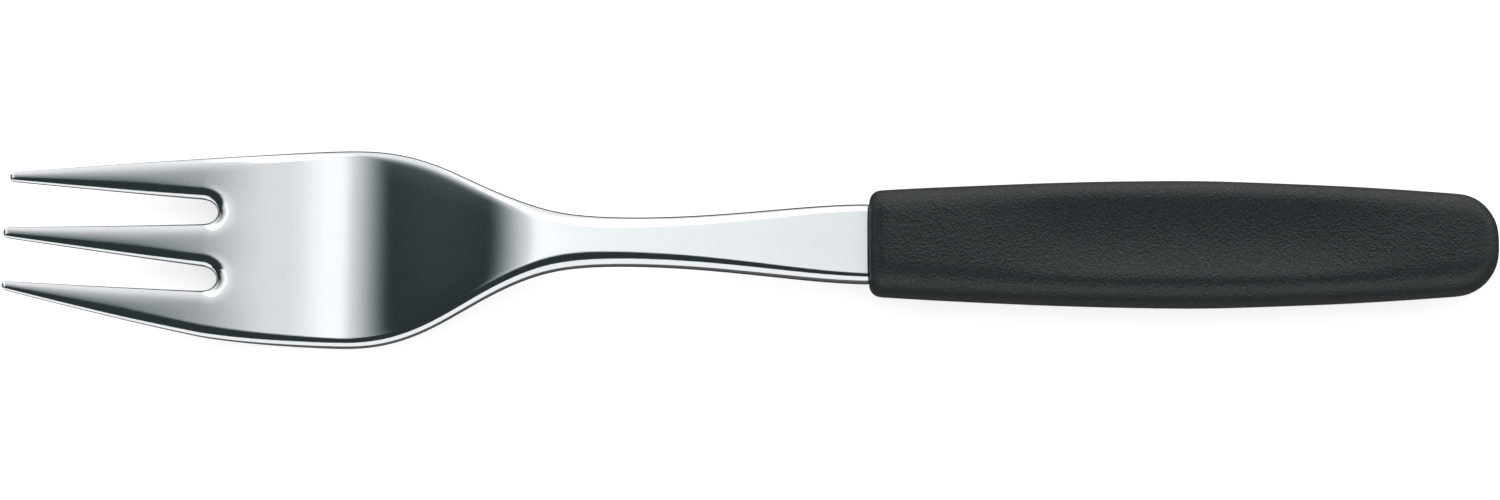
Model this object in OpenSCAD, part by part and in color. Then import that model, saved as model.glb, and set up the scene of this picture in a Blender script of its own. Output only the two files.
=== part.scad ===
// Pastry fork: a stamped steel fork with three tines, and a plastic handle moulded round its tang.
// The tines point to -X, the handle to +X. The fork lies on the plane z = 0, its hollow side up.

/* [Overall] */
// Length from the tine tips to the end of the handle
fork_len = 155; // [140:1:175]
// Length of the handle
handle_len = 65.4; // [58:0.1:70]

/* [Tines] */
// Length of the slots between the tines
slot_len = 21.6; // [17:0.1:25]
// Width of the steel across the tine tips
tips_w = 12.7; // [12.3:0.1:15]
// Width of the middle tine at its tip
tine_tip_w = 1.1; // [0.9:0.1:2]
// Width of the middle tine where the slots end
tine_root_w = 4.5; // [3.5:0.1:5.5]
// Width of each slot at the tips
slot_tip_w = 4.9; // [4:0.05:5]
// Width of each slot near its round end
slot_root_w = 2.65; // [2:0.05:3]
// How much wider the cutting tine, on the -Y side, is at its root
cutter_extra = 0.5; // [0:0.05:1]
// How much further in its tip lies
cutter_tip_in = 0.3; // [0:0.05:0.5]
// How far the tip of the outer tine on the +Y side stands back from the others
tip_step = 0.5; // [0:0.1:1]
// Thickness of the steel at the tips
tip_t = 0.7; // [0.6:0.05:1.2]
// Length over which the tips are rounded, seen from above
tip_round = 0.5; // [0.4:0.1:1.5]
// Width of the rounding along the edges of the tines at their tips
tine_round = 2; // [0.5:0.1:2.2]
// Width of the rounding along the edges of the tines where the slots end
slot_round = 1.5; // [0.8:0.1:2]
// Height of the tips over the lowest point of the head
tip_rise = 7.6; // [4:0.1:10]

/* [Palm] */
// Greatest width of the head
head_w = 21.3; // [19:0.1:24]
// Thickness of the steel in the palm
palm_t = 1.8; // [1.5:0.1:2.6]
// Width of the rounding along the edges of the palm
palm_round = 1; // [0.5:0.05:1.5]
// Distance from the end of the slots to the lowest point of the head
low_dist = 12.9; // [10:0.1:16]
// Length over which the head narrows and rises to the neck
rise_len = 24; // [20:0.1:28]

/* [Neck] */
// Width of the neck at its narrowest
neck_w = 5; // [4:0.1:7]
// Thickness of the neck
neck_t = 2.4; // [2:0.1:3.2]
// Width of the rounding along the edges where the head ends
neck_round = 1.7; // [0.5:0.1:2.2]
// Width of the rounding along the edges of the neck at its narrowest
waist_round = 1.5; // [0.5:0.1:2.2]
// Height of the neck over the lowest point of the head
neck_rise = 3.2; // [2:0.1:4]
// Height of the arch between the head and the neck's narrowest point
neck_arch = 0.9; // [0:0.1:1.5]
// Distance from the narrowest point of the neck to the handle
waist_dist = 25.1; // [22:0.1:28]
// Width of the steel where it meets the handle
shoulder_w = 8.5; // [7:0.1:8.5]
// Width of the rounding along its edges there
shoulder_round = 0.95; // [0.5:0.05:2]

/* [Tang] */
// Length of the tang inside the handle
tang_len = 42; // [30:1:50]
// Width of the tang
tang_w = 6; // [5:0.1:6.5]
// Thickness of the tang
tang_t = 1.8; // [1.2:0.1:2]
// Diameter of the two holes that the plastic fills
tang_hole_d = 3; // [2:0.1:3.5]
// Distance from the handle's front to the first hole
tang_hole_x = 13; // [9:1:15]
// Distance between the two holes
tang_hole_gap = 18; // [8:1:20]
// Radius of the corners at the end of the tang
tang_corner_r = 1.5; // [0.5:0.1:2.4]

/* [Handle] */
// Greatest width of the handle
handle_w = 13; // [12:0.1:16]
// Width of the handle at its front
front_w = 10.9; // [10.9:0.1:13]
// Width of the handle near its end
butt_w = 9.9; // [9:0.1:13]
// Height of the handle at its thickest
handle_h = 8.1; // [7.4:0.1:9]
// Height of the handle at its front
front_h = 7.4; // [6.6:0.1:8]
// Height of the handle near its end
butt_h = 7.6; // [6.5:0.1:8]
// Radius of the handle's long edges below, and of those on top at its front
handle_round = 3; // [2:0.1:3.2]
// Radius of the long edges on top in the middle of the handle
crest_round = 2.4; // [1.4:0.1:3]
// Radius of the front corners, seen from above
front_corner_r = 1.1; // [0.6:0.1:1.1]
// Radius of the top and bottom edges at the front
front_edge_r = 1.8; // [0.8:0.1:1.9]
// Radius of the corners at the end, seen from above
butt_corner_r = 4.2; // [2:0.1:5]
// Radius of the top and bottom edges at the end
butt_edge_r = 3; // [1:0.1:3.2]
// Depth of the thumb hollow along the top
hollow_depth = 0.75; // [0:0.05:1]
// Distance between the crests on both sides of the thumb hollow
crest_gap = 8.8; // [6:0.1:9.6]
// Depth that is cut off the underside to give the handle a flat to lie on
flat_depth = 0.15; // [0.1:0.05:0.3]

/* [Hidden] */

// Depth by which the tang starts inside the steel, and by which cuts pass a face
overrun = 1;
// Part of the steel's thickness that stays square at a rounded edge
edge_land_share = 0.2;
// Fall of the faces towards the edges as a part of the thickness, over a width of its own
roll_off_share = 0.045;
roll_w = 3.5;
// Length of a slot's round end as a share of its half width
slot_end_share = 1.15;
// Where the head turns from its curved part to the straight tips, as a share of its length
head_bend_share = 0.43;
// Part of a tine's width that is left at the very tip
tip_flat_share = 0.15;

// Places along the fork
x_tip = -fork_len / 2;
x_butt = fork_len / 2;
x_front = x_butt - handle_len;
x_slot = x_tip + slot_len;
x_low = x_slot + low_dist;
x_neck = x_low + rise_len;
x_waist = x_front - waist_dist;

// Where the arch behind the head is highest, as a share of the way from the lowest point to the neck
arch_share = 0.87;
x_arch = x_low + arch_share * rise_len;
// Part of the neck over which the arch turns into its straight fall
neck_bend_share = 0.12;
// Heights of the middle of the steel: at its lowest, on the arch and in the neck
z_low = palm_t / 2;
z_neck = z_low + neck_rise;
z_arch = z_neck + neck_arch;

// Half width of the head, from the tips to its widest point: place and width, as shares
head_shares = [[0, 0], [0.29, 0.37], [0.57, 0.68], [0.79, 0.88]];
// The same from the widest point back to the neck, with 1 as the width of the head
rise_shares = [[0, 1.01], [0.21, 0.98], [0.42, 0.77], [0.63, 0.41], [0.84, 0.14], [1, 0.03]];
// The same from the waist to the handle, with 1 as the width at the handle
shoulder_shares = [[0, 0], [0.3, 0.17], [0.6, 0.6], [0.85, 0.95], [1, 1]];

// Value a share of the way from a to b, and a share kept between 0 and 1
function mix(a, b, share) = a + (b - a) * share;
function clamp(share) = max(0, min(1, share));
// Gentle S from 0 to 1
function ease(share) = pow(clamp(share), 2) * (3 - 2 * clamp(share));
// Quarter round: 0 at the edge, and 1 from the end of the rounding on
function quarter(share) = sqrt(1 - pow(1 - clamp(share), 2));

// Smooth curve that starts and ends on its first and last point and rounds the others off
function blend(a, b, c, d, t) =
    (pow(1 - t, 3) * a + (3 * pow(t, 3) - 6 * t * t + 4) * b
    + (-3 * pow(t, 3) + 3 * t * t + 3 * t + 1) * c + pow(t, 3) * d) / 6;
function curve(p, steps = 8) =
    let (first = p[0], last = p[len(p) - 1], q = concat([first, first], p, [last, last]))
    concat(
        [for (i = [0:len(q) - 4], k = [0:steps - 1]) blend(q[i], q[i + 1], q[i + 2], q[i + 3], k / steps)],
        [last]);

// Outline of the steel: half width at each place
steel_outline = curve(concat(
    [for (s = head_shares) [mix(x_tip, x_low, s[0]), mix(tips_w, head_w, s[1]) / 2]],
    [for (s = rise_shares) [mix(x_low, x_neck, s[0]), mix(neck_w, head_w, s[1]) / 2]],
    [for (s = shoulder_shares) [mix(x_waist, x_front, s[0]), mix(neck_w, shoulder_w, s[1]) / 2]]));
function half_w(x) = lookup(x, steel_outline);

// Height of the middle of the steel: up to the tips on one side, over the arch to the neck on the other
function turned(share, bend_share) = sqrt(1 + pow(share / bend_share, 2)) - 1;
function bend(share, bend_share) = turned(clamp(share), bend_share) / turned(1, bend_share);
function mid_z(x) = x < x_low
    ? z_low + tip_rise * bend((x_low - x) / (x_low - x_tip), head_bend_share)
    : x < x_arch
        ? mix(z_low, z_arch, ease((x - x_low) / (x_arch - x_low)))
        : mix(z_arch, z_neck, bend((x - x_arch) / (x_front - x_arch), neck_bend_share));

// Thickness of the steel, and width of its edge rounding
function steel_t(x) = x < x_low
    ? mix(palm_t, tip_t, pow((x_low - x) / (x_low - x_tip), 1.3))
    : mix(palm_t, neck_t, ease((x - x_low) / (x_neck - x_low)));
steel_round = [[x_tip, tine_round], [x_slot, slot_round], [x_low, palm_round],
    [x_neck, neck_round], [x_waist, waist_round], [x_front, shoulder_round]];

// Half the steel's thickness at a place x, at a distance from the nearest edge
function half_t(x, edge_dist, round_w) = steel_t(x)
    * (mix(edge_land_share, 1, quarter(edge_dist / round_w)) / 2
        - roll_off_share * (1 - quarter(edge_dist / roll_w)));

// Edges of the slots, as distances from the axis: the edge towards it and the edge away from it
slot_tip_in = tine_tip_w / 2;
slot_root_in = tine_root_w / 2;
slot_root_r = slot_root_w / 2;
x_root = x_slot - slot_end_share * slot_root_r;
root_share = slot_root_in / half_w(x_root);
root_out_share = (slot_root_in + slot_root_w) / half_w(x_root);
function slot_in(x) = x < x_root
    ? mix(slot_tip_in, slot_root_in, (x - x_tip) / (x_root - x_tip))
    : root_share * half_w(x);
function slot_out(x) = x < x_root
    ? mix(slot_tip_in + slot_tip_w, slot_root_in + slot_root_w, (x - x_tip) / (x_root - x_tip))
    : root_out_share * half_w(x);
// Extra width of the cutting tine: it fades out towards the tip and the widest point
function extra_w(x) = x < x_root
    ? mix(-cutter_tip_in, cutter_extra, (x - x_tip) / (x_root - x_tip))
    : cutter_extra * (1 - ease((x - x_root) / (x_low - x_root)));
// Shift of its inner edge towards the axis, which fades out towards the root
function shift_in(x) = cutter_tip_in * clamp((x_root - x) / (x_root - x_tip));

// Grid over the steel: cells across a tine and a slot, along a tine, and along palm and neck
tine_rows = 6;
slot_rows = 4;
tine_cols = 14;
palm_cols = 38;
// Columns of the palm over which the round of the slot ends dies away
fade_cols = 9;
// Columns that round a tine's tip
tip_cols = 4;
full_rows = 3 * tine_rows + 2 * slot_rows;
palm_power = 1.6;

// Share of a width at a row, closer together near both edges
function row_share(j, rows) = (1 - cos(180 * j / rows)) / 2;

// Edges of a tine: 0 is the cutting tine on the -Y side, 1 the middle one, 2 the other outer one
function tine_lo(n, x) = [-half_w(x) - extra_w(x), -slot_in(x), slot_out(x)][n];
function tine_hi(n, x) = [shift_in(x) - slot_out(x), slot_in(x), half_w(x)][n];
function tine_x(n, i) =
    let (x_end = x_tip + (n == 2 ? tip_step : 0))
    i <= tip_cols
        ? x_end + tip_round * (1 - cos(90 * i / tip_cols))
        : mix(x_end + tip_round, x_root, (i - tip_cols) / (tine_cols - tip_cols));
// One point on the middle surface of a tine, with half its thickness there
function tine_point(n, i, j) =
    let (
        x = tine_x(n, i),
        lo = tine_lo(n, x),
        hi = tine_hi(n, x),
        scale_w = mix(tip_flat_share, 1, quarter((x - tine_x(n, 0)) / tip_round)),
        half = (hi - lo) / 2,
        side = (2 * row_share(j, tine_rows) - 1) * half,
        from_edge = min(half - abs(side), x - tine_x(n, 0)))
    [x, (lo + hi) / 2 + side * scale_w,
        half_t(x, from_edge, min(half, lookup(x, steel_round)))];

// Place of a palm row: which strip it lies in, and its share of that strip
strip_rows = [0, tine_rows, tine_rows + slot_rows, 2 * tine_rows + slot_rows,
    2 * tine_rows + 2 * slot_rows, full_rows];
function strip(j) = min(4, len([for (r = strip_rows) if (r <= j) r]) - 1);
function strip_share(j) =
    let (s = strip(j)) row_share(j - strip_rows[s], strip_rows[s + 1] - strip_rows[s]);
function strip_edge(s, x) =
    [-half_w(x) - extra_w(x), -slot_out(x), -slot_in(x), slot_in(x), slot_out(x), half_w(x)][s];
function palm_x(i) = mix(x_root, x_front, pow(i / palm_cols, palm_power));
// Distance from the round end of the nearer slot
function slot_dist(x, y) =
    let (mid = (slot_in(x_root) + slot_out(x_root)) / 2)
    norm([(x - x_root) / slot_end_share, abs(y) - mid]) - slot_root_r;
function palm_point(i, j) =
    let (
        s = strip(j),
        v = strip_share(j),
        x0 = palm_x(i),
        fade = 1 - clamp((x0 - x_root) / (palm_x(fade_cols) - x_root)),
        x = x0 + (s % 2 == 1 ? slot_end_share * slot_root_r * sin(acos(1 - 2 * v)) * fade : 0),
        y = mix(strip_edge(s, x0), strip_edge(s + 1, x0), v),
        from_edge = min(y - strip_edge(0, x), strip_edge(5, x) - y, max(0, slot_dist(x, y))))
    [x, y, half_t(x, from_edge, lookup(x, steel_round))];

// All points, each as one on top and one below: the palm first, then the tines up to their roots
steel_grid = concat(
    [for (i = [0:palm_cols], j = [0:full_rows]) palm_point(i, j)],
    [for (n = [0:2], i = [0:tine_cols - 1], j = [0:tine_rows]) tine_point(n, i, j)]);
steel_points = [for (p = steel_grid, side = [1, -1]) [p[0], p[1], mid_z(p[0]) + side * p[2]]];

function palm_at(i, j) = i * (full_rows + 1) + j;
function tine_at(n, i, j) = i < tine_cols
    ? (palm_cols + 1) * (full_rows + 1) + (n * tine_cols + i) * (tine_rows + 1) + j
    : palm_at(0, n * (tine_rows + slot_rows) + j);

// Top and bottom triangles of the cell between four grid points, and the wall along an edge
function cell(a, b, c, d) = [
    [2 * a, 2 * b, 2 * c], [2 * a, 2 * c, 2 * d],
    [2 * a + 1, 2 * c + 1, 2 * b + 1], [2 * a + 1, 2 * d + 1, 2 * c + 1]];
function wall(a, b) = [[2 * a, 2 * b + 1, 2 * a + 1], [2 * a, 2 * b, 2 * b + 1]];

steel_faces = concat(
    // palm, neck and shoulder
    [for (i = [0:palm_cols - 1], j = [0:full_rows - 1])
        each cell(palm_at(i, j), palm_at(i, j + 1), palm_at(i + 1, j + 1), palm_at(i + 1, j))],
    [for (i = [0:palm_cols - 1]) each wall(palm_at(i, 0), palm_at(i + 1, 0))],
    [for (i = [0:palm_cols - 1]) each wall(palm_at(i + 1, full_rows), palm_at(i, full_rows))],
    [for (j = [0:full_rows - 1]) each wall(palm_at(palm_cols, j), palm_at(palm_cols, j + 1))],
    // round ends of the slots
    [for (s = [1, 3], j = [strip_rows[s]:strip_rows[s + 1] - 1])
        each wall(palm_at(0, j + 1), palm_at(0, j))],
    // tines
    [for (n = [0:2], i = [0:tine_cols - 1], j = [0:tine_rows - 1])
        each cell(tine_at(n, i, j), tine_at(n, i, j + 1), tine_at(n, i + 1, j + 1), tine_at(n, i + 1, j))],
    [for (n = [0:2], i = [0:tine_cols - 1]) each wall(tine_at(n, i, 0), tine_at(n, i + 1, 0))],
    [for (n = [0:2], i = [0:tine_cols - 1])
        each wall(tine_at(n, i + 1, tine_rows), tine_at(n, i, tine_rows))],
    [for (n = [0:2], j = [0:tine_rows - 1]) each wall(tine_at(n, 0, j + 1), tine_at(n, 0, j))]);

// Flat tang inside the handle, with round corners at its end and two holes that lock it in
module tang() {
    translate([x_front, 0, z_neck - tang_t / 2])
        linear_extrude(tang_t)
            difference() {
                union() {
                    translate([-overrun, -tang_w / 2])
                        square([tang_len - tang_corner_r + overrun, tang_w]);
                    translate([0, tang_corner_r - tang_w / 2])
                        square([tang_len, tang_w - 2 * tang_corner_r]);
                    for (side = [-1, 1])
                        translate([tang_len - tang_corner_r, side * (tang_w / 2 - tang_corner_r)])
                            circle(r = tang_corner_r, $fn = 48);
                }
                for (n = [0, 1])
                    translate([tang_hole_x + n * tang_hole_gap, 0])
                        circle(d = tang_hole_d, $fn = 48);
            }
}

// Head, neck and tang, stamped in one piece
module steel_fork() {
    color("gainsboro") {
        polyhedron(points = steel_points, faces = steel_faces, convexity = 6);
        tang();
    }
}

// Half width of the handle, before its ends are rounded: place and width from the front to the
// widest point, and from there to the end, as shares
front_shares = [[0, 0], [0.1, 0.33], [0.2, 0.56], [0.3, 0.8]];
butt_shares = [[0.46, 1], [0.55, 1], [0.65, 0.84], [0.75, 0.69], [0.85, 0.44], [0.93, 0.19], [1, 0]];
handle_outline = curve(concat(
    [for (s = front_shares) [mix(x_front, x_butt, s[0]), mix(front_w, handle_w, s[1]) / 2]],
    [for (s = butt_shares) [mix(x_front, x_butt, s[0]), mix(butt_w, handle_w, s[1]) / 2]]));
// Underside of the handle, which is straight along its top: height from the front to the thickest
// place, and from there to the end, as shares of the way down to the flat
z_top = handle_h;
front_under_shares = [[0, 0], [0.2, 0.7], [0.45, 1]];
butt_under_shares = [[0.75, 0.7], [1, 0]];
handle_under = curve(concat(
    [for (s = front_under_shares) [mix(x_front, x_butt, s[0]), mix(z_top - front_h, -flat_depth, s[1])]],
    [for (s = butt_under_shares) [mix(x_front, x_butt, s[0]), mix(z_top - butt_h, -flat_depth, s[1])]]));

// Cells along the handle's front round, its body and its end round, and round a section's parts
front_cols = 4;
body_cols = 14;
butt_cols = 7;
handle_cols = front_cols + body_cols + butt_cols;
flat_rows = 10;
corner_rows = 5;

function handle_x(i) = i < front_cols
    ? x_front + front_edge_r * (1 - cos(90 * i / front_cols))
    : i <= front_cols + body_cols
        ? mix(x_front + front_edge_r, x_butt - butt_corner_r, (i - front_cols) / body_cols)
        : x_butt - butt_corner_r * (1 - sin(90 * (i - front_cols - body_cols) / butt_cols));
// Loss of size near an end, for a rounding of radius r
function end_cut(dist, r) = r * (1 - quarter(dist / r));
// Share of the hollow's depth: it dies away towards both ends of the handle and at its crests
hollow_front_share = 0.14;
hollow_butt_share = 0.9;
hollow_fade_share = 0.22;
hollow_power = 1.05;
function hollow_share(x, y) =
    let (s = (x - x_front) / handle_len)
    ease((s - hollow_front_share) / hollow_fade_share)
        * ease((hollow_butt_share - s) / hollow_fade_share)
        * pow(max(0, 1 - pow(2 * y / crest_gap, 2)), hollow_power);

// Part of the end rounding that is used, so that the last section still has a size
butt_corner_share = 0.9;
butt_edge_share = 0.8;
// Radius of the long edges on top: from the front over the middle to the end, as shares of the way
// from the middle's radius to the front's
crest_shares = [[0, 1], [0.35, 0], [1, 0.3]];
// Largest radius of the long edges, as a share of a section's width and height
round_limit_share = 0.4;
// One section across the handle, from the upper +Y edge over the top and round by the -Y side
function handle_ring(x) =
    let (
        w = lookup(x, handle_outline)
            - end_cut(x - x_front, front_corner_r) - end_cut(x_butt - x, butt_corner_r) * butt_corner_share,
        cut_h = end_cut(x - x_front, front_edge_r) + end_cut(x_butt - x, butt_edge_r) * butt_edge_share,
        top = z_top - cut_h,
        low = lookup(x, handle_under) + cut_h,
        limit = min(2 * w, top - low) * round_limit_share,
        crest = mix(crest_round, handle_round, lookup((x - x_front) / handle_len, crest_shares)),
        c = min(crest, limit),
        r = min(handle_round, limit),
        arc = [for (k = [1:corner_rows - 1]) 90 * k / corner_rows],
        upper = concat(
            [for (a = arc) [w - c + c * cos(a), top - c + c * sin(a)]],
            [for (j = [0:flat_rows]) [mix(w - c, c - w, j / flat_rows), top]],
            [for (a = arc) [c - w - c * sin(a), top - c + c * cos(a)]]))
    concat(
        [for (p = upper) [x, p[0], p[1] - hollow_depth * hollow_share(x, p[0])]],
        [[x, -w, top - c], [x, -w, low + r]],
        [for (a = arc) [x, r - w - r * cos(a), low + r - r * sin(a)]],
        [for (j = [flat_rows:-2:0]) [x, mix(w - r, r - w, j / flat_rows), low]],
        [for (a = arc) [x, w - r + r * sin(a), low + r - r * cos(a)]],
        [[x, w, low + r], [x, w, top - c]]);
handle_rings = [for (i = [0:handle_cols]) handle_ring(handle_x(i))];
ring_len = len(handle_rings[0]);
// The last two points are the middles of the two end faces
handle_points = concat(
    [for (ring = handle_rings, p = ring) p],
    [for (x = [x_front, x_butt]) [x, 0, z_neck]]);
front_mid = len(handle_points) - 2;
butt_mid = front_mid + 1;
butt_ring = handle_cols * ring_len;
handle_faces = concat(
    [for (k = [0:ring_len - 1]) [front_mid, k, (k + 1) % ring_len]],
    [for (i = [0:handle_cols - 1], k = [0:ring_len - 1])
        let (a = i * ring_len + k, b = i * ring_len + (k + 1) % ring_len)
        each [[a, b + ring_len, b], [a, a + ring_len, b + ring_len]]],
    [for (k = [0:ring_len - 1]) [butt_mid, butt_ring + (k + 1) % ring_len, butt_ring + k]]);

// Plastic handle, moulded round the tang, with a thumb hollow on top and a flat to lie on
module handle() {
    color("darkslategray")
        difference() {
            polyhedron(points = handle_points, faces = handle_faces, convexity = 4);
            translate([x_front - overrun, -handle_w, -handle_h])
                cube([handle_len + 2 * overrun, 2 * handle_w, handle_h]);
            tang();
        }
}

steel_fork();
handle();
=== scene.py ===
# Pastry fork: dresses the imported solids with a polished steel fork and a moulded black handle.
import bpy
import bmesh
import numpy as np
from math import radians, sqrt, sin, cos, pi, hypot
from mathutils import Vector, Matrix


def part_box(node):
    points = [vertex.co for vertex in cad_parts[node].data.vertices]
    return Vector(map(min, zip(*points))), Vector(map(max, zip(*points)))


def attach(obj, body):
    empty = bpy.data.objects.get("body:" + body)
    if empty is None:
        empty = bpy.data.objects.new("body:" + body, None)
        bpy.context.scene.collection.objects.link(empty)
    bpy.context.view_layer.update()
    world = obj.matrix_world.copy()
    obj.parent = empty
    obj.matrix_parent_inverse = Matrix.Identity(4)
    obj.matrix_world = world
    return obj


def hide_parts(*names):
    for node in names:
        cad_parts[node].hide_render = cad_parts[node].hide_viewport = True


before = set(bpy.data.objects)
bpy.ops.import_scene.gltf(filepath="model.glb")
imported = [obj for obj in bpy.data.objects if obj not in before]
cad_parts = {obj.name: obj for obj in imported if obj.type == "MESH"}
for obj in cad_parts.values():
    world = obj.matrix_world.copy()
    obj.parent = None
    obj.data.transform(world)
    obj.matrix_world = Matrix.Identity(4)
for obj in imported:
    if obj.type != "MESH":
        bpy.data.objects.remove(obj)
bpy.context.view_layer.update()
mm = 0.001  # lengths below are in millimetres, and meshes are scaled to metres at the end

steelLow, steelHigh = (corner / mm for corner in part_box("steel_fork"))
handleLow, handleHigh = (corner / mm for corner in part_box("handle"))
tipX, tangEndX = steelLow.x, steelHigh.x
frontX, buttX = handleLow.x, handleHigh.x
print("frame: fork from", round(tipX, 2), "to", round(buttX, 2), "mm")


def mix(a, b, share):
    return a + (b - a) * share


def clamp(share):
    return max(0.0, min(1.0, share))


def ease(share):  # gentle S from 0 to 1
    share = clamp(share)
    return share * share * (3 - 2 * share)


def quarter(share):  # quarter round: 0 at the edge, 1 where the rounding ends
    return sqrt(1 - (1 - clamp(share)) ** 2)


def smoothLine(points, steps=8):  # rounds off the corners between the first and the last point
    q = [points[0]] * 2 + list(points) + [points[-1]] * 2
    line = []
    for a, b, c, d in zip(q, q[1:], q[2:], q[3:]):
        for t in np.arange(steps) / steps:
            weights = ((1 - t) ** 3, 3 * t ** 3 - 6 * t * t + 4,
                       -3 * t ** 3 + 3 * t * t + 3 * t + 1, t ** 3)
            line.append([sum(w * p[n] for w, p in zip(weights, (a, b, c, d))) / 6 for n in (0, 1)])
    line.append(list(points[-1]))
    return np.array(line)


def along(line, x):  # value of a line of (place, value) points at a place
    return float(np.interp(x, line[:, 0], line[:, 1]))


smoothLevels = 1  # of the subdivision that finishes each piece


def finishPiece(bm, name, node, material):  # from a mesh in millimetres to a dressed piece
    bmesh.ops.recalc_face_normals(bm, faces=bm.faces[:])
    bmesh.ops.scale(bm, vec=(mm, mm, mm), verts=bm.verts[:])
    for face in bm.faces:
        face.smooth = True
    mesh = bpy.data.meshes.new(name)
    bm.to_mesh(mesh)
    bm.free()
    piece = bpy.data.objects.new(name, mesh)
    bpy.context.scene.collection.objects.link(piece)
    mesh.materials.append(material)
    subsurf = piece.modifiers.new("smooth", "SUBSURF")
    subsurf.levels = subsurf.render_levels = smoothLevels
    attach(piece, "root")
    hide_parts(node)
    print("piece:", name, len(mesh.polygons), "faces before smoothing")


# Camera: almost straight above, a little to the near side, as the photograph was taken
viewValues = {
    "aim": (-0.30, -0.70, 4.4),   # point in the middle of the picture
    "tilt": 13.0,                 # degrees from straight above towards -Y
    "distance": 583.0,
    "frameWidth": 156.1,          # what the picture's width covers at the aim point
    "sensor": 36.0,
    "roll": 0.0028,               # the handle's end lies slightly lower in the picture
    "clip": (0.01, 20.0),         # nearest and furthest that it sees, in metres
}


def makeCamera():
    v = viewValues
    tilt = radians(v["tilt"])
    back = Vector((0, -sin(tilt), cos(tilt)))
    up = Vector((0, cos(tilt), sin(tilt)))
    right = Vector((1, 0, 0))
    rolledRight = (right + v["roll"] * up).normalized()
    rolledUp = (up - v["roll"] * right).normalized()
    data = bpy.data.cameras.new("camera")
    data.sensor_width = v["sensor"]
    data.lens = v["sensor"] * v["distance"] / v["frameWidth"]
    data.clip_start, data.clip_end = v["clip"]
    camera = bpy.data.objects.new("camera", data)
    bpy.context.scene.collection.objects.link(camera)
    turn = Matrix((rolledRight, rolledUp, back)).transposed().to_4x4()
    place = (Vector(v["aim"]) + back * v["distance"]) * mm
    camera.matrix_world = Matrix.Translation(place) @ turn
    bpy.context.scene.camera = camera
    print("camera: lens", round(data.lens, 1), "mm")


makeCamera()

# Steel fork: the same form as the solid, with finer edges
steelValues = {
    "slotLen": 21.6,
    "tipsW": 12.7,
    "tineTipW": 1.1,
    "tineRootW": 4.5,
    "slotTipW": 4.9,
    "slotRootW": 2.65,
    "cutterExtra": 0.5,       # the cutting tine, on the -Y side, is this much wider at its root
    "cutterTipIn": 0.3,       # and its tip lies this much further in
    "tipStep": 0.5,           # the +Y tine stands back by this
    "tipRound": 0.5,
    "tipRise": 7.6,
    "tipT": 0.7,
    "thinPower": 1.3,         # how evenly the head thins out to its tips
    "headW": 21.3,
    "palmT": 1.8,
    "lowDist": 12.9,          # from the slots' ends to the lowest point of the head
    "riseLen": 24.0,          # and from there to the neck
    "neckW": 5.0,
    "neckT": 2.4,
    "neckRise": 3.2,
    "neckArch": 0.9,          # how much higher the neck is behind the head than at the handle
    "waistDist": 25.1,        # from the handle back to where the shoulder starts
    "shoulderW": 8.5,
    "shoulderIn": 0.4,        # how far the shoulder goes on inside the handle
    "shoulderStep": 0.2,      # and how much smaller it is there
    "tangW": 6.0,
    "tangT": 1.8,
    "tangRound": 0.3,
    "edgeRounds": (2.0, 1.5, 1.0, 1.7, 1.5, 0.95),  # at tip, slot end, lowest point, neck, waist, handle
    "edgeLand": 0.2,          # part of the thickness that stays square at the edges
    "slotEndShare": 1.15,     # length of a slot's round end, against half a circle's
    "slotFallStretch": 3.0,   # how far the fall towards a slot's end is drawn out along the palm
    "slotFallShare": 0.5,     # how much that counts, beside the plain distance
    "headBendShare": 0.43,    # part of the head's length over which it bends, before it rises straight
    "tipFlatShare": 0.15,     # width of a tip's flat end, against the tine's width there
    "archShare": 0.87,        # where the arch is highest, as part of riseLen
    "neckBendShare": 0.12,
    "rollOff": (0.045, 3.5),  # part of the thickness that the faces fall by, and over what width
}

# Cells of its mesh: across a tine and a slot, then along the tip, the whole tine, the palm with the neck,
# and the tang
steelCells = {
    "tine": 14,
    "slot": 8,
    "tip": 6,
    "tineLen": 22,
    "palmLen": 60,
    "tangLen": 8,
    "palmPower": 1.7,         # how much shorter the cells are near the slots
    "fadeLen": 6.9,           # over which the rows of tines and slots pass into even ones
    "edgeShare": 0.85,        # how much closer together the even rows lie towards the edges
}
stripRows = steelCells["tine"] + steelCells["slot"]
steelRows = 2 * stripRows + steelCells["tine"]


def steelPlaces():
    v = steelValues
    p = {"slot": tipX + v["slotLen"]}
    p["low"] = p["slot"] + v["lowDist"]
    p["neck"] = p["low"] + v["riseLen"]
    p["arch"] = p["low"] + v["archShare"] * v["riseLen"]
    p["waist"] = frontX - v["waistDist"]
    p["root"] = p["slot"] - v["slotEndShare"] * v["slotRootW"] / 2
    return p


placeX = steelPlaces()
# The outline of each stretch: how far along it, and how far its width has changed there
headShares = ((0, 0), (0.29, 0.37), (0.57, 0.68), (0.79, 0.88))
riseShares = ((0, 1.01), (0.21, 0.98), (0.42, 0.77), (0.63, 0.41), (0.84, 0.14), (1, 0.03))
shoulderShares = ((0, 0), (0.3, 0.17), (0.6, 0.6), (0.85, 0.95), (1, 1))


def steelOutline():
    v = steelValues
    stretches = ((headShares, tipX, placeX["low"], v["tipsW"], v["headW"]),
                 (riseShares, placeX["low"], placeX["neck"], v["neckW"], v["headW"]),
                 (shoulderShares, placeX["waist"], frontX, v["neckW"], v["shoulderW"]))
    return smoothLine([(mix(x0, x1, s), mix(w0, w1, w) / 2)
                       for shares, x0, x1, w0, w1 in stretches for s, w in shares])


steelLine = steelOutline()


def halfW(x):
    return along(steelLine, x)


def bend(share, bendShare):  # from level into a straight slope, 1 at its end
    def rise(s):
        return sqrt(1 + (s / bendShare) ** 2) - 1
    return rise(clamp(share)) / rise(1)


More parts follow.
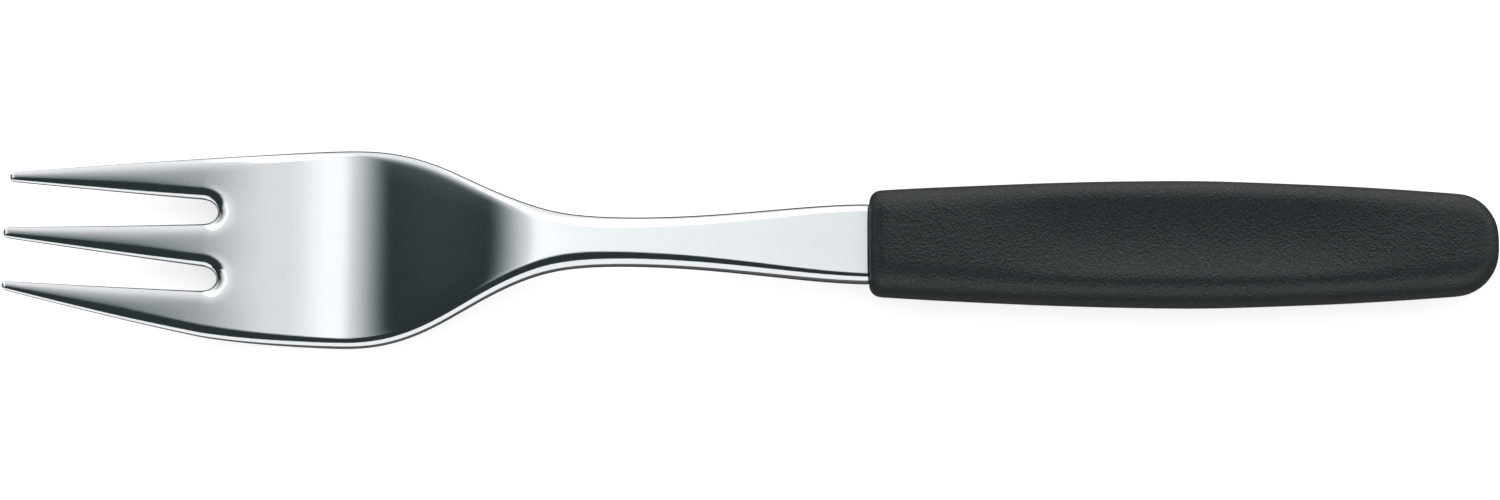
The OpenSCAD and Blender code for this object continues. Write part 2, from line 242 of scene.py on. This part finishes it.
def steelMidZ(x):  # height of the middle of the steel
    v = steelValues
    low = v["palmT"] / 2
    neck = low + v["neckRise"]
    arch = neck + v["neckArch"]
    if x < placeX["low"]:
        return low + v["tipRise"] * bend((placeX["low"] - x) / (placeX["low"] - tipX), v["headBendShare"])
    if x < placeX["arch"]:
        return mix(low, arch, ease((x - placeX["low"]) / (placeX["arch"] - placeX["low"])))
    return mix(arch, neck, bend((x - placeX["arch"]) / (frontX - placeX["arch"]), v["neckBendShare"]))


def steelT(x):
    v = steelValues
    if x < placeX["low"]:
        share = (placeX["low"] - x) / (placeX["low"] - tipX)
        return mix(v["palmT"], v["tipT"], share ** v["thinPower"])
    return mix(v["palmT"], v["neckT"], ease((x - placeX["low"]) / (placeX["neck"] - placeX["low"])))


def edgeRound(x):
    stops = (tipX, placeX["slot"], placeX["low"], placeX["neck"], placeX["waist"], frontX)
    return float(np.interp(x, stops, steelValues["edgeRounds"]))


def halfT(x, edgeDist, roundW, fallDist=None):  # half the thickness, with round edges and falling faces
    fall, width = steelValues["rollOff"]
    rounded = mix(steelValues["edgeLand"], 1, quarter(edgeDist / roundW))
    fallDist = edgeDist if fallDist is None else fallDist
    return steelT(x) * (rounded / 2 - fall * (1 - quarter(fallDist / width)))


def slotEdges(x):  # distances of a slot's two edges from the axis
    v = steelValues
    inTip, inRoot = v["tineTipW"] / 2, v["tineRootW"] / 2
    if x < placeX["root"]:
        s = (x - tipX) / (placeX["root"] - tipX)
        return mix(inTip, inRoot, s), mix(inTip + v["slotTipW"], inRoot + v["slotRootW"], s)
    s = halfW(x) / halfW(placeX["root"])
    return inRoot * s, (inRoot + v["slotRootW"]) * s


def cutterExtra(x):
    v = steelValues
    if x < placeX["root"]:
        return mix(-v["cutterTipIn"], v["cutterExtra"], (x - tipX) / (placeX["root"] - tipX))
    return v["cutterExtra"] * (1 - ease((x - placeX["root"]) / (placeX["low"] - placeX["root"])))


def tineEdges(tine, x):
    slotIn, slotOut = slotEdges(x)
    shiftIn = steelValues["cutterTipIn"] * clamp((placeX["root"] - x) / (placeX["root"] - tipX))
    return ((-halfW(x) - cutterExtra(x), shiftIn - slotOut), (-slotIn, slotIn), (slotOut, halfW(x)))[tine]


def tineSpread(row, half):  # place across a tine, with the rows closer together at its edges
    return -half * cos(pi * row / steelCells["tine"])


def tinePoint(tine, col, row):
    v, cells = steelValues, steelCells
    endX = tipX + (v["tipStep"] if tine == 2 else 0)
    if col <= cells["tip"]:
        x = endX + v["tipRound"] * (1 - cos(pi / 2 * col / cells["tip"]))
    else:
        share = (col - cells["tip"]) / (cells["tineLen"] - cells["tip"])
        x = mix(endX + v["tipRound"], placeX["root"], share)
    low, high = tineEdges(tine, x)
    half = (high - low) / 2
    roundW = min(half, edgeRound(x))
    side = tineSpread(row, half)
    width = mix(v["tipFlatShare"], 1, quarter((x - endX) / v["tipRound"]))
    fromEdge = min(half - abs(side), x - endX)
    return x, (low + high) / 2 + side * width, halfT(x, fromEdge, roundW)


def slotDist(x, y, stretch):  # distance from the round end of the nearer slot
    v = steelValues
    mid = sum(slotEdges(placeX["root"])) / 2
    return max(0, hypot((x - placeX["root"]) / stretch, abs(y) - mid) - v["slotRootW"] / 2)


def evenShare(row):  # place across the palm or the tang, from 0 to 1
    share = row / steelRows
    return mix(share, (1 - cos(pi * share)) / 2, steelCells["edgeShare"])


def palmPoint(col, row):
    v, cells = steelValues, steelCells
    x0 = mix(placeX["root"], frontX, (col / cells["palmLen"]) ** cells["palmPower"])
    fade = 1 - clamp((x0 - placeX["root"]) / cells["fadeLen"])
    strip, inStrip = divmod(row, stripRows)
    bulge = 0
    if inStrip <= cells["tine"]:  # behind a tine
        low, high = tineEdges(strip, x0)
        rootY = (low + high) / 2 + tineSpread(inStrip, (high - low) / 2)
    else:  # behind a slot
        turn = pi * (inStrip - cells["tine"]) / cells["slot"]
        rootY = mix(tineEdges(strip, x0)[1], tineEdges(strip + 1, x0)[0], (1 - cos(turn)) / 2)
        bulge = v["slotEndShare"] * v["slotRootW"] / 2 * sin(turn)
    low, high = -halfW(x0) - cutterExtra(x0), halfW(x0)
    y = mix(mix(low, high, evenShare(row)), rootY, ease(fade))
    x = x0 + bulge * fade
    fromSides = min(y + halfW(x) + cutterExtra(x), halfW(x) - y)
    fromSlot = slotDist(x, y, v["slotEndShare"])
    fallDist = mix(fromSlot, slotDist(x, y, v["slotFallStretch"]), v["slotFallShare"])
    return x, y, halfT(x, min(fromSides, fromSlot), edgeRound(x), min(fromSides, fallDist))


def tangPoint(col, row):  # the shoulder goes on a little inside the handle, and then the tang
    v = steelValues
    stepX = frontX + v["shoulderIn"]
    if col < 2:
        x, width, thick, roundW = frontX, v["shoulderW"], v["neckT"], edgeRound(frontX)
    else:
        share = (col - 2) / (steelCells["tangLen"] - 2)
        x, width, thick, roundW = mix(stepX, tangEndX, share), v["tangW"], v["tangT"], v["tangRound"]
    if col == 1:
        x, width, thick = stepX, width - v["shoulderStep"], thick - v["shoulderStep"]
    across = 2 * evenShare(row) - 1
    dist = (1 - abs(across)) * width / 2
    return x, across * width / 2, thick / 2 * mix(v["edgeLand"], 1, quarter(dist / roundW))


def steelPoint(col, row, side):
    cells = steelCells
    if col < cells["tineLen"]:
        x, y, half = tinePoint(row // stripRows, col, row % stripRows)
    elif col <= cells["tineLen"] + cells["palmLen"]:
        x, y, half = palmPoint(col - cells["tineLen"], row)
    else:
        x, y, half = tangPoint(col - cells["tineLen"] - cells["palmLen"], row)
    return x, y, steelMidZ(x) + side * half


def makeSteel(material):
    cells = steelCells
    cols = cells["tineLen"] + cells["palmLen"] + cells["tangLen"]
    bm = bmesh.new()
    bmesh.ops.create_grid(bm, x_segments=cols, y_segments=steelRows, size=0.5)
    bmesh.ops.translate(bm, verts=bm.verts[:], vec=(0.5, 0.5, 0))
    bmesh.ops.scale(bm, verts=bm.verts[:], vec=(cols, steelRows, 1))  # x and y now count columns and rows
    slotFaces = []
    for face in bm.faces:
        middle = face.calc_center_median()
        if middle.x < cells["tineLen"] and middle.y % stripRows > cells["tine"]:
            slotFaces.append(face)
    bmesh.ops.delete(bm, geom=slotFaces, context="FACES")
    bmesh.ops.solidify(bm, geom=bm.verts[:] + bm.edges[:] + bm.faces[:], thickness=1)
    middleZ = sum(v.co.z for v in bm.verts) / len(bm.verts)
    for vert in bm.verts:
        side = 1 if vert.co.z > middleZ else -1
        vert.co = steelPoint(round(vert.co.x), round(vert.co.y), side)
    finishPiece(bm, "polished_fork", "steel_fork", material)


# Handle: moulded round the tang, with a thumb hollow along its top
handleValues = {
    "width": handleHigh.y - handleLow.y,
    "frontW": 10.9,
    "buttW": 9.9,
    "top": handleHigh.z,
    "frontH": 7.4,
    "buttH": 7.6,
    "topRound": 2.4,          # about a third along, growing towards lowRound at both ends
    "lowRound": 3.0,
    "roundLimit": 0.4,        # the most that these take of the width or height
    "frontCornerR": 1.1,      # seen from above
    "frontEdgeR": 1.8,        # and seen from the side
    "buttCornerR": 4.2,
    "buttEdgeR": 3.0,
    "buttCornerShare": 0.9,   # part of each radius that is taken off at the very end
    "buttEdgeShare": 0.8,
    "buttInset": 0.8,         # rim of the small face that closes the end
    "hollow": 0.75,           # depth of the thumb hollow
    "crestGap": 8.8,          # its width between the crests
    "hollowPower": 1.05,      # how round it is across
    "hollowSpan": (0.14, 0.9, 0.22),  # where it starts and ends, and over what length it fades, as shares
    "flatDepth": 0.15,        # how much the flat below takes off
    "jointGap": 0.06,         # thin open line round the steel
    "pocketIn": 0.5,          # depth of the pocket's wide mouth
    "pocketStep": 0.1,        # length over which it narrows to the tang
    "pocketRound": 0.8,       # its rounding, against half its height
}

# Cells of its mesh, across (top, corner, side, bottom) and along (front, body, butt)
handleCells = {"top": 20, "corner": 6, "side": 2, "bottom": 8, "front": 6, "body": 36, "butt": 10}
# How far along the handle, and how far a width, height or rounding has changed there
crestShares = np.array(((0, 1), (0.35, 0), (1, 0.3)))  # from topRound to lowRound
frontShares = ((0, 0), (0.1, 0.33), (0.2, 0.56), (0.3, 0.8))
buttShares = ((0.46, 1), (0.55, 1), (0.65, 0.84), (0.75, 0.69), (0.85, 0.44), (0.93, 0.19), (1, 0))
frontUnderShares = ((0, 0), (0.2, 0.7), (0.45, 1))
buttUnderShares = ((0.75, 0.7), (1, 0))


def handleLines():  # half width and underside along the handle
    v = handleValues
    wide = [(mix(frontX, buttX, s), mix(v["frontW"], v["width"], w) / 2) for s, w in frontShares]
    wide += [(mix(frontX, buttX, s), mix(v["buttW"], v["width"], w) / 2) for s, w in buttShares]
    frontLow, buttLow = v["top"] - v["frontH"], v["top"] - v["buttH"]
    under = [(mix(frontX, buttX, s), mix(frontLow, -v["flatDepth"], w)) for s, w in frontUnderShares]
    under += [(mix(frontX, buttX, s), mix(buttLow, -v["flatDepth"], w)) for s, w in buttUnderShares]
    return smoothLine(wide), smoothLine(under)


handleWide, handleUnder = handleLines()


def endCut(dist, radius):
    return radius * (1 - quarter(dist / radius))


def hollowAt(x, y):
    v = handleValues
    s = (x - frontX) / (buttX - frontX)
    start, end, fade = v["hollowSpan"]
    across = max(0, 1 - (2 * y / v["crestGap"]) ** 2) ** v["hollowPower"]
    return v["hollow"] * ease((s - start) / fade) * ease((end - s) / fade) * across


def sectionTurn(width, low, high, topR, lowR):  # round a box section, from the middle of its top by -Y
    cells = handleCells
    arc = [pi / 2 * k / cells["corner"] for k in range(cells["corner"])]
    ring = [((topR - width) * k / (cells["top"] / 2), high) for k in range(cells["top"] // 2)]
    ring += [(topR - width - topR * sin(a), high - topR + topR * cos(a)) for a in arc]
    ring += [(-width, mix(high - topR, low + lowR, k / cells["side"])) for k in range(cells["side"])]
    ring += [(lowR - width - lowR * cos(a), low + lowR - lowR * sin(a)) for a in arc]
    ring += [((lowR - width) * (1 - k / (cells["bottom"] / 2)), low) for k in range(cells["bottom"] // 2)]
    mirrored = [(-y, z) for y, z in ring[:0:-1]]
    return ring + [(0, low)] + mirrored


def handleRing(x):
    v = handleValues
    width = (along(handleWide, x) - endCut(x - frontX, v["frontCornerR"])
             - endCut(buttX - x, v["buttCornerR"]) * v["buttCornerShare"])
    cut = endCut(x - frontX, v["frontEdgeR"]) + endCut(buttX - x, v["buttEdgeR"]) * v["buttEdgeShare"]
    low, high = along(handleUnder, x) + cut, v["top"] - cut
    limit = min(2 * width, high - low) * v["roundLimit"]
    crest = mix(v["topRound"], v["lowRound"], along(crestShares, (x - frontX) / (buttX - frontX)))
    ring = sectionTurn(width, low, high, min(crest, limit), min(v["lowRound"], limit))
    middle = (low + high) / 2
    return [(x, y, z - hollowAt(x, y) if z > middle else max(0, z)) for y, z in ring]


def pocketRing(x, width, height):  # the opening that the steel fills
    v = handleValues
    middle, half = steelMidZ(frontX), height / 2 + v["jointGap"]
    radius = v["pocketRound"] * half
    ring = sectionTurn(width / 2 + v["jointGap"], middle - half, middle + half, radius, radius)
    return [(x, y, z) for y, z in ring]


def handleRings():
    v, cells, steel = handleValues, handleCells, steelValues
    mouthX = frontX + v["pocketIn"]
    tangXs = (tangEndX + v["jointGap"], mouthX + v["pocketStep"])
    rings = [pocketRing(x, steel["tangW"], steel["tangT"]) for x in tangXs]
    rings += [pocketRing(x, steel["shoulderW"], steel["neckT"]) for x in (mouthX, frontX)]
    xs = [frontX + v["frontEdgeR"] * (1 - cos(pi / 2 * i / cells["front"])) for i in range(cells["front"])]
    bodyEnds = (frontX + v["frontEdgeR"], buttX - v["buttCornerR"])
    xs += [mix(*bodyEnds, i / cells["body"]) for i in range(cells["body"])]
    xs += [buttX - v["buttCornerR"] * (1 - sin(pi / 2 * i / cells["butt"]))
           for i in range(cells["butt"] + 1)]
    return rings + [handleRing(x) for x in xs]


def makeHandle(material):
    rings = handleRings()
    bm = bmesh.new()
    made = bmesh.ops.create_circle(bm, segments=len(rings[0]), radius=1, cap_ends=False)
    loop = made["verts"]
    for vert, place in zip(loop, rings[0]):
        vert.co = place
    bmesh.ops.contextual_create(bm, geom=bm.edges[:])  # closes the bottom of the pocket
    edges = bm.edges[:]
    for ring in rings[1:]:
        grown = bmesh.ops.extrude_edge_only(bm, edges=edges)["geom"]
        edges = [part for part in grown if isinstance(part, bmesh.types.BMEdge)]
        newVerts = {part for part in grown if isinstance(part, bmesh.types.BMVert)}
        loop = [next(e.other_vert(vert) for e in vert.link_edges if e.other_vert(vert) in newVerts)
                for vert in loop]
        for vert, place in zip(loop, ring):
            vert.co = place
    closed = bmesh.ops.contextual_create(bm, geom=edges)["faces"]
    bmesh.ops.inset_region(bm, faces=closed, thickness=handleValues["buttInset"])
    bmesh.ops.poke(bm, faces=closed)
    finishPiece(bm, "moulded_handle", "handle", material)


# Materials
def newMaterial(name):
    material = bpy.data.materials.new(name)
    material.use_nodes = True
    tree = material.node_tree
    return material, tree, tree.nodes["Principled BSDF"]


def addNode(tree, kind, settings=None, **inputs):
    node = tree.nodes.new(kind)
    for key, value in (settings or {}).items():
        setattr(node, key, value)
    for key, value in inputs.items():
        socket = node.inputs[key.replace("_", " ")]
        if isinstance(value, bpy.types.NodeSocket):
            tree.links.new(value, socket)
        else:
            socket.default_value = value
    return node


def objectPlace(tree, scale=(1, 1, 1)):
    coords = tree.nodes.new("ShaderNodeTexCoord")
    mapping = addNode(tree, "ShaderNodeMapping", Vector=coords.outputs["Object"], Scale=scale)
    return mapping.outputs["Vector"]


def maths(tree, operation, a, b):
    node = addNode(tree, "ShaderNodeMath", {"operation": operation})
    for socket, value in zip(node.inputs, (a, b)):
        if isinstance(value, bpy.types.NodeSocket):
            tree.links.new(value, socket)
        else:
            socket.default_value = value
    return node.outputs[0]


def product(tree, first, *others):
    for other in others:
        first = maths(tree, "MULTIPLY", first, other)
    return first


def spread(tree, value, low, high):  # a 0 to 1 pattern brought to a range
    node = addNode(tree, "ShaderNodeMapRange", Value=value, To_Min=low, To_Max=high)
    return node.outputs["Result"]


def softStep(tree, value, start, full):  # 0 before start, 1 past full
    node = addNode(tree, "ShaderNodeMapRange", {"interpolation_type": "SMOOTHSTEP"}, Value=value,
                   From_Min=start, From_Max=full)
    return node.outputs["Result"]


def mixColour(tree, share, first, second):  # from the first colour at 0 to the second at 1
    node = addNode(tree, "ShaderNodeMix", {"data_type": "RGBA"})
    tree.links.new(share, node.inputs[0])
    node.inputs[6].default_value, node.inputs[7].default_value = first, second
    return node.outputs[2]


def noise(tree, scale, detail):
    node = addNode(tree, "ShaderNodeTexNoise", Vector=objectPlace(tree, scale), Scale=1, Detail=detail)
    return node.outputs["Fac"]


steelFinish = {
    "light": (0.68, 0.71, 0.725, 1),
    "deep": (0.65, 0.68, 0.695, 1),
    "edge": (0.12, 0.12, 0.13, 1),   # its tint where a face turns away, near black: painted shade that draws a dark outline along the steel's edges
    "rough": (0.07, 0.12),
    "cloud": (120, 260, 260),        # patches of colour to a metre, along, across and up
    "wipes": (500, 9000, 9000),      # the same for the wipe marks of the polish
    "peel": (900, 900, 900),         # and for the faint waves of the sheet
    "wipeBump": (0.08, 0.00002),     # strength and depth
    "peelBump": (0.02, 0.0001),
}


def polishedSteel():
    v = steelFinish
    material, tree, shader = newMaterial("polishedSteel")
    cloud, wipes, peel = noise(tree, v["cloud"], 3), noise(tree, v["wipes"], 4), noise(tree, v["peel"], 2)
    tree.links.new(mixColour(tree, cloud, v["light"], v["deep"]), shader.inputs["Base Color"])
    tree.links.new(spread(tree, wipes, *v["rough"]), shader.inputs["Roughness"])
    strength, depth = v["wipeBump"]
    fine = addNode(tree, "ShaderNodeBump", Height=wipes, Strength=strength, Distance=depth)
    strength, depth = v["peelBump"]
    bump = addNode(tree, "ShaderNodeBump", Height=peel, Strength=strength, Distance=depth,
                   Normal=fine.outputs["Normal"])
    tree.links.new(bump.outputs["Normal"], shader.inputs["Normal"])
    shader.inputs["Metallic"].default_value = 1
    # the dark edge tint is painted shade: it darkens the reflection along the outline
    shader.inputs["Specular Tint"].default_value = v["edge"]
    return material


handleFinish = {
    "light": (0.0045, 0.0110, 0.0125, 1),
    "deep": (0.0025, 0.0070, 0.0082, 1),
    "rough": (0.25, 0.50),    # on the tops and in the dips of its grain
    "specular": 0.52,
    "grain": 0.0003,          # size of the cells of that grain
    "grainDepth": 0.00007,
    "pores": 1.3,             # noise among the cells: how many to a cell
    "cellSoftness": 0.3,
    "tops": 0.35,             # height that counts as a top
    "dips": -0.1,             # and as a dip
    "patch": 5,               # cells to a patch of colour
}


def mouldedPlastic():
    v = handleFinish
    material, tree, shader = newMaterial("mouldedPlastic")
    place = objectPlace(tree)
    patches = addNode(tree, "ShaderNodeTexNoise", Vector=place, Detail=2,
                      Scale=1 / (v["patch"] * v["grain"]))
    pores = addNode(tree, "ShaderNodeTexNoise", Vector=place, Detail=2, Scale=v["pores"] / v["grain"])
    cells = addNode(tree, "ShaderNodeTexVoronoi", {"feature": "SMOOTH_F1"}, Vector=place,
                    Scale=1 / v["grain"], Smoothness=v["cellSoftness"])
    height = maths(tree, "SUBTRACT", pores.outputs["Fac"], cells.outputs["Distance"])
    bump = addNode(tree, "ShaderNodeBump", Height=height, Strength=1.0, Distance=v["grainDepth"])
    tree.links.new(bump.outputs["Normal"], shader.inputs["Normal"])
    colour = mixColour(tree, patches.outputs["Fac"], v["light"], v["deep"])
    tree.links.new(colour, shader.inputs["Base Color"])
    dips = softStep(tree, height, v["tops"], v["dips"])
    tree.links.new(spread(tree, dips, *v["rough"]), shader.inputs["Roughness"])
    shader.inputs["Specular IOR Level"].default_value = v["specular"]
    return material


steelMaterial, plasticMaterial = polishedSteel(), mouldedPlastic()
print("materials: polished steel and moulded plastic")
makeSteel(steelMaterial)
makeHandle(plasticMaterial)
print("pieces: steel fork and handle are dressed")

# Studio: a wide soft light above, a strip light and a small lamp behind, a dark ceiling round them, pale
# walls and floor, and a soft fill. The sides of each light are given as x or y over height
studioValues = {
    "box": 1.03,                  # brightness of the soft light
    "boxRest": (0.14, 0.95),      # and past its +X side: that much, and that much more towards +Y
    "boxLeft": (-0.62, -0.10),    # where it starts and is full, towards -X
    "boxRight": (0.42, 0.18),     # the same towards +X
    "boxNear": (-0.06, 0.08),     # the same towards -Y
    "boxHot": 0.38,               # what its middle adds
    "hotLeft": (-0.22, -0.08),    # where that starts and is full, towards -X
    "hotRight": (0.13, -0.03),    # the same towards +X
    "back": 1.15,                 # brightness of the strip light behind
    "backFront": (0.24, 1.40),    # where it starts and is full, towards +Y
    "backSide": (1.6, 1.0),       # the same towards both ends
    "backHot": 1.2,               # what its middle adds
    "backHotSide": (0.35, 0.12),  # and where that fades, towards both ends
    "glint": 3.4,                 # a small lamp behind, which shows in the thumb hollow
    "glintFront": (0.35, 0.7),    # where it starts and is full, on each side
    "glintBack": (1.3, 0.9),
    "glintLeft": (-0.1, 0.03),
    "glintRight": (0.25, 0.12),
    "ceiling": 0.042,
    "ceilingTint": (0.78, 1.0, 1.04, 1),
    "tintUntil": 0.6,             # brightness from which the light is white
    "wall": 1.25,
    "wallNear": (0.84, 0.92),     # where the pale wall starts towards -Y
    "wallUp": (0.32, 0.20),       # where the pale walls start all round, as height
    "leastHeight": 0.02,          # that x and y are divided by
    "floor": 0.8,                 # its colour
    "floorSize": 3,               # half its side, in metres
    "floorRough": 0.9,
    "floorGlow": 0.6,             # what it adds in the picture, to be white
    "floorShineWithPaintedShadow": (0.15, 1.3),    # its brightness in gloss: beside the fork, where it is a painted shadow of the fork, and away from it
    "shineNear": (-30.0, -90.0),  # where that changes on the near side, as y
    "shineFar": (14.0, 30.0),     # and on the far side
    "fill": 0.3,                  # soft light from above that shows in no reflection
    "fillSpread": 120.0,          # in degrees
}


def makeWorld():
    v = studioValues
    world = bpy.data.worlds.new("studio")
    bpy.context.scene.world = world
    world.use_nodes = True
    tree = world.node_tree
    tree.nodes.clear()

    coords = tree.nodes.new("ShaderNodeTexCoord")
    parts = addNode(tree, "ShaderNodeSeparateXYZ", Vector=coords.outputs["Generated"])
    x, y, z = (parts.outputs[n] for n in range(3))
    height = maths(tree, "MAXIMUM", z, v["leastHeight"])
    acrossX, acrossY = maths(tree, "DIVIDE", x, height), maths(tree, "DIVIDE", y, height)

    hot = product(tree, softStep(tree, acrossX, *v["hotLeft"]), softStep(tree, acrossX, *v["hotRight"]),
                  v["boxHot"])
    rest = maths(tree, "ADD", product(tree, acrossY, v["boxRest"][1]), v["boxRest"][0])
    rest = maths(tree, "MINIMUM", rest, v["box"])
    more = maths(tree, "SUBTRACT", maths(tree, "ADD", v["box"], hot), rest)
    box = maths(tree, "ADD", product(tree, softStep(tree, acrossX, *v["boxRight"]), more), rest)
    box = product(tree, box, softStep(tree, acrossX, *v["boxLeft"]),
                  softStep(tree, acrossY, *v["boxNear"]))

    wallNear = softStep(tree, product(tree, acrossY, -1), *v["wallNear"])
    wall = maths(tree, "MAXIMUM", wallNear, softStep(tree, z, *v["wallUp"]))
    wall = product(tree, wall, v["wall"])

    sideways = maths(tree, "ABSOLUTE", acrossX, 0)
    back = product(tree, softStep(tree, sideways, *v["backHotSide"]), v["backHot"])
    back = maths(tree, "ADD", back, v["back"])
    rising = addNode(tree, "ShaderNodeMapRange", Value=acrossY, From_Min=v["backFront"][0],
                     From_Max=v["backFront"][1])
    back = product(tree, back, softStep(tree, sideways, *v["backSide"]), rising.outputs["Result"])

    glint = product(tree, softStep(tree, acrossY, *v["glintFront"]), v["glint"],
                    softStep(tree, acrossY, *v["glintBack"]), softStep(tree, acrossX, *v["glintLeft"]),
                    softStep(tree, acrossX, *v["glintRight"]))

    light = maths(tree, "MAXIMUM", maths(tree, "MAXIMUM", box, back), maths(tree, "MAXIMUM", wall, glint))
    tint = mixColour(tree, softStep(tree, light, 0.0, v["tintUntil"]), v["ceilingTint"], (1, 1, 1, 1))
    light = maths(tree, "MAXIMUM", light, v["ceiling"])
    path = tree.nodes.new("ShaderNodeLightPath")
    lit = addNode(tree, "ShaderNodeBackground", Color=tint, Strength=light)
    white = addNode(tree, "ShaderNodeBackground", Color=(1, 1, 1, 1))
    both = addNode(tree, "ShaderNodeMixShader")
    tree.links.new(path.outputs["Is Camera Ray"], both.inputs[0])
    tree.links.new(lit.outputs[0], both.inputs[1])
    tree.links.new(white.outputs[0], both.inputs[2])
    out = tree.nodes.new("ShaderNodeOutputWorld")
    tree.links.new(both.outputs[0], out.inputs["Surface"])
    print("world: soft light above, pale walls")


def makeFloor():
    v = studioValues
    bm = bmesh.new()
    bmesh.ops.create_grid(bm, x_segments=1, y_segments=1, size=v["floorSize"])
    mesh = bpy.data.meshes.new("floor")
    bm.to_mesh(mesh)
    bm.free()
    floor = bpy.data.objects.new("floor", mesh)
    bpy.context.scene.collection.objects.link(floor)

    material, tree, shader = newMaterial("paleFloor")
    shader.inputs["Roughness"].default_value = v["floorRough"]
    shader.inputs["Specular IOR Level"].default_value = 0
    shader.inputs["Emission Color"].default_value = (1, 1, 1, 1)
    path = tree.nodes.new("ShaderNodeLightPath")
    # In gloss the floor shows a set brightness instead of its lit colour: a painted shadow, dark in a
    # strip beside the fork, which the steel and the handle reflect
    y = addNode(tree, "ShaderNodeSeparateXYZ", Vector=objectPlace(tree)).outputs["Y"]
    nearSide = softStep(tree, y, *[edge * mm for edge in v["shineNear"]])
    farSide = softStep(tree, y, *[edge * mm for edge in v["shineFar"]])
    shine = spread(tree, maths(tree, "MAXIMUM", nearSide, farSide), *v["floorShineWithPaintedShadow"])
    # in gloss the floor's own colour is black, so only that set brightness with its painted shadow shows
    white, black = [v["floor"]] * 3 + [1], (0, 0, 0, 1)
    paint = mixColour(tree, path.outputs["Is Glossy Ray"], white, black)
    tree.links.new(paint, shader.inputs["Base Color"])
    seen = product(tree, path.outputs["Is Camera Ray"], v["floorGlow"])
    mirrored = product(tree, path.outputs["Is Glossy Ray"], shine)
    tree.links.new(maths(tree, "ADD", seen, mirrored), shader.inputs["Emission Strength"])
    mesh.materials.append(material)
    print("floor: pale, dark in gloss beside the fork")


def makeFill():
    data = bpy.data.lights.new("fill", "SUN")
    data.energy = studioValues["fill"] * pi
    data.angle = radians(studioValues["fillSpread"])
    lamp = bpy.data.objects.new("fill", data)
    bpy.context.scene.collection.objects.link(lamp)
    lamp.visible_glossy = False
    print("lamp: soft fill from above")


makeWorld()
makeFloor()
makeFill()
bpy.context.scene.view_settings.view_transform = "Standard"
